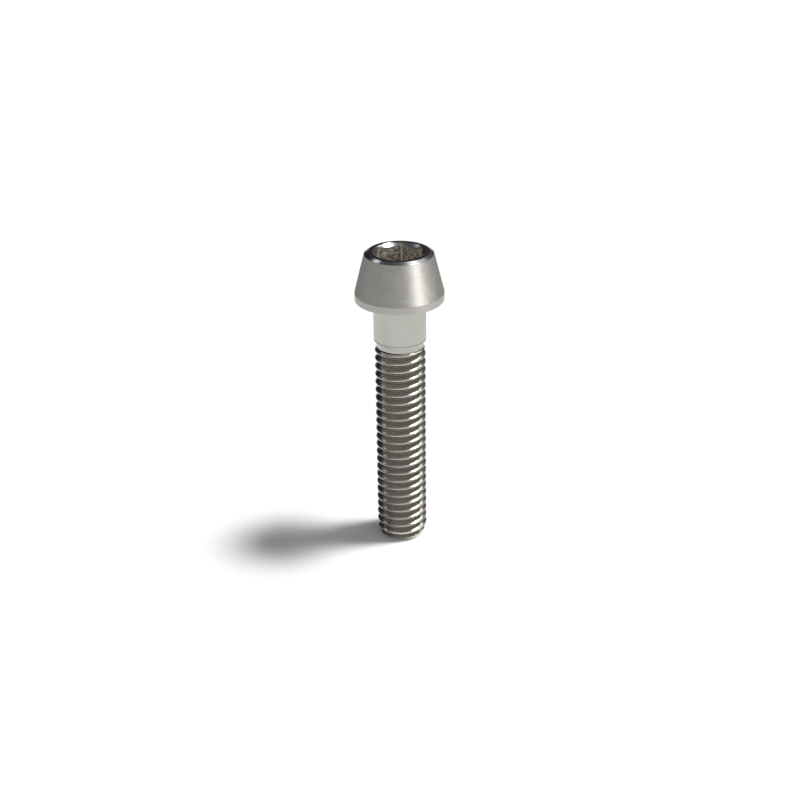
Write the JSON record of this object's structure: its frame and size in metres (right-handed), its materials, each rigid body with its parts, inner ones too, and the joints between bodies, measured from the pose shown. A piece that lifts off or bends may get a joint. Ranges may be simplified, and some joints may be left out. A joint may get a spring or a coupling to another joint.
{
  "type": "tapered socket head cap screw",
  "caption": "Metric cap screw with a conical head, hexagon socket, plain shank, undercut neck and right-hand thread, for clamping a part through its hole into a threaded bore.",
  "frame": {"origin": "centre of the flat end face of the tip", "axes": "+Z along the screw's axis from the tip to the head, with two flats of the hexagon socket facing X"},
  "size_m": [0.0102, 0.0102, 0.0357],
  "materials": {
    "screw_metal": "satin, with fine turned lines"
  },
  "bodies": {
    "root": {"cap_screw": "screw_metal"}
  },
  "joints": []
}
